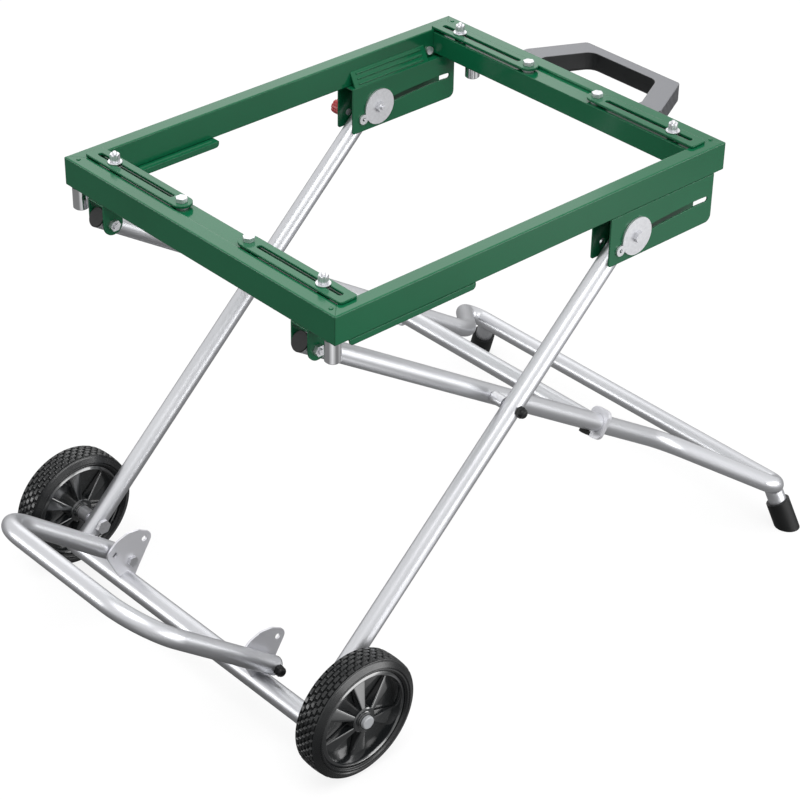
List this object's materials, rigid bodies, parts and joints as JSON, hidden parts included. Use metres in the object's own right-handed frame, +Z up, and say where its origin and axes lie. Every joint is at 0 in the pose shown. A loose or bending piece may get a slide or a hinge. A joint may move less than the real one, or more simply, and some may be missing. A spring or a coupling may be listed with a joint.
{
  "type": "folding saw stand",
  "caption": "Folding X-leg stand for a bench-top table saw: flat top frame with swinging slotted arms, two wheels, a U-shaped load bar, rubber feet and a carry handle.",
  "frame": {"origin": "middle of the whole unfolded stand, on the floor", "axes": "+X along the stand from the wheels to the carry handle, +Y across it to the side away from the viewer, +Z up"},
  "size_m": [1.0202, 0.6538, 0.6386],
  "materials": {
    "green_paint": "gloss",
    "tube": "satin",
    "zinc": "bright",
    "grey_paint": "satin",
    "black_plastic": "matte",
    "handle_plastic": "matte",
    "rubber": "matte",
    "tyre": "matte",
    "rim_plastic": "gloss",
    "cap_plastic": "gloss",
    "red_plastic": "gloss"
  },
  "bodies": {
    "top_frame": {"long_rail_near": "green_paint", "long_rail_far": "green_paint", "short_rail_wheel_end": "green_paint", "short_rail_handle_end": "green_paint", "ledge_wheel_end": "green_paint", "ledge_handle_end": "green_paint", "frame_rivets": "green_paint", "leg_channels": "green_paint", "slot_bracket_near": "green_paint", "slot_bracket_far": "green_paint", "bracket_screws": "zinc", "pivot_brackets": "green_paint", "bent_pivot_bolts": "zinc", "leg_stops": "tube", "carry_handle": "handle_plastic", "handle_screws": "zinc", "arm_pivot_bolts": "zinc", "knob_bush": "zinc"},
    "foot_frame": {"bent_leg_near": "tube", "bent_leg_far": "tube", "foot_bar": "tube", "foot_cross_tube": "tube", "collar_plates": "grey_paint", "collar_screws": "black_plastic", "foot_stubs": "tube", "rubber_feet": "rubber", "bent_leg_plugs": "black_plastic"},
    "wheel_frame": {"straight_leg_near": "tube", "straight_leg_far": "tube", "straight_leg_plugs": "black_plastic", "wheel_cross_tube": "tube", "load_bar_ear_near": "grey_paint", "load_bar_ear_far": "grey_paint", "slide_pins": "zinc", "slide_discs": "zinc", "scissor_bolts": "zinc", "leg_spacers": "zinc", "cap_nuts": "black_plastic", "axle_bolts": "zinc", "axle_caps": "cap_plastic", "load_pivot_bolts": "zinc"},
    "wheel_near": {"tyre_near": "tyre", "rim_near": "rim_plastic"},
    "wheel_far": {"tyre_far": "tyre", "rim_far": "rim_plastic"},
    "load_bar": {"load_bar": "tube", "load_bar_plugs": "black_plastic"},
    "lock_button_near": {"lock_button_near": "zinc"},
    "lock_button_far": {"lock_button_far": "zinc"},
    "latch_knob": {"latch_knob": "red_plastic", "latch_stem": "zinc"},
    "saw_arm_wheel_end_near": {"saw_arm_wheel_end_near": "green_paint"},
    "saw_bolt_wheel_end_near": {"saw_bolt_wheel_end_near": "zinc"},
    "saw_arm_wheel_end_far": {"saw_arm_wheel_end_far": "green_paint"},
    "saw_bolt_wheel_end_far": {"saw_bolt_wheel_end_far": "zinc"},
    "saw_arm_handle_end_near": {"saw_arm_handle_end_near": "green_paint"},
    "saw_bolt_handle_end_near": {"saw_bolt_handle_end_near": "zinc"},
    "saw_arm_handle_end_far": {"saw_arm_handle_end_far": "green_paint"},
    "saw_bolt_handle_end_far": {"saw_bolt_handle_end_far": "zinc"}
  },
  "joints": [
    {"name": "leg_fold", "type": "hinge", "parent": "top_frame", "child": "foot_frame", "pos_m": [-0.27469, 0, 0.5525], "axis": [0, -1, 0], "range_deg": [0, 31.8]},
    {"name": "scissor_turn", "type": "hinge", "parent": "foot_frame", "child": "wheel_frame", "pos_m": [0.01014, 0, 0.36711], "axis": [0, -1, 0], "range_deg": [-74.4, 0]},
    {"name": "wheel_spin_near", "type": "hinge", "parent": "wheel_frame", "child": "wheel_near", "pos_m": [-0.28768, -0.285, 0.0825], "axis": [0, 1, 0], "continuous": true},
    {"name": "wheel_spin_far", "type": "hinge", "parent": "wheel_frame", "child": "wheel_far", "pos_m": [-0.28768, 0.285, 0.0825], "axis": [0, 1, 0], "continuous": true},
    {"name": "load_bar_turn", "type": "hinge", "parent": "wheel_frame", "child": "load_bar", "pos_m": [-0.30568, 0, 0.084], "axis": [0, 1, 0], "range_deg": [0, 92.7]},
    {"name": "latch_pull", "type": "slide", "parent": "top_frame", "child": "latch_knob", "axis": [0, 1, 0], "range_m": [0, 0.012], "stiffness_N_per_m": 300, "springref_m": -0.004},
    {"name": "lock_button_press_near", "type": "slide", "parent": "load_bar", "child": "lock_button_near", "axis": [0, -1, 0], "range_m": [0, 0.003], "stiffness_N_per_m": 500, "springref_m": -0.002},
    {"name": "lock_button_press_far", "type": "slide", "parent": "load_bar", "child": "lock_button_far", "axis": [0, 1, 0], "range_m": [0, 0.003], "stiffness_N_per_m": 500, "springref_m": -0.002},
    {"name": "arm_turn_wheel_end_near", "type": "hinge", "parent": "top_frame", "child": "saw_arm_wheel_end_near", "pos_m": [-0.25519, -0.062, 0.6221], "axis": [0, 0, 1], "range_deg": [0, 90]},
    {"name": "saw_bolt_slide_wheel_end_near", "type": "slide", "parent": "saw_arm_wheel_end_near", "child": "saw_bolt_wheel_end_near", "axis": [0, -1, 0], "range_m": [-0.11, 0.028]},
    {"name": "arm_turn_wheel_end_far", "type": "hinge", "parent": "top_frame", "child": "saw_arm_wheel_end_far", "pos_m": [-0.25519, 0.062, 0.6221], "axis": [0, 0, -1], "range_deg": [0, 90]},
    {"name": "saw_bolt_slide_wheel_end_far", "type": "slide", "parent": "saw_arm_wheel_end_far", "child": "saw_bolt_wheel_end_far", "axis": [0, 1, 0], "range_m": [-0.11, 0.028]},
    {"name": "arm_turn_handle_end_near", "type": "hinge", "parent": "top_frame", "child": "saw_arm_handle_end_near", "pos_m": [0.31781, -0.062, 0.6221], "axis": [0, 0, -1], "range_deg": [0, 90]},
    {"name": "saw_bolt_slide_handle_end_near", "type": "slide", "parent": "saw_arm_handle_end_near", "child": "saw_bolt_handle_end_near", "axis": [0, -1, 0], "range_m": [-0.11, 0.028]},
    {"name": "arm_turn_handle_end_far", "type": "hinge", "parent": "top_frame", "child": "saw_arm_handle_end_far", "pos_m": [0.31781, 0.062, 0.6221], "axis": [0, 0, 1], "range_deg": [0, 90]},
    {"name": "saw_bolt_slide_handle_end_far", "type": "slide", "parent": "saw_arm_handle_end_far", "child": "saw_bolt_handle_end_far", "axis": [0, 1, 0], "range_m": [-0.11, 0.028]}
  ],
  "couplings": [
    {"joint": "scissor_turn", "follows": "leg_fold", "ratio": -2.3396}
  ]
}
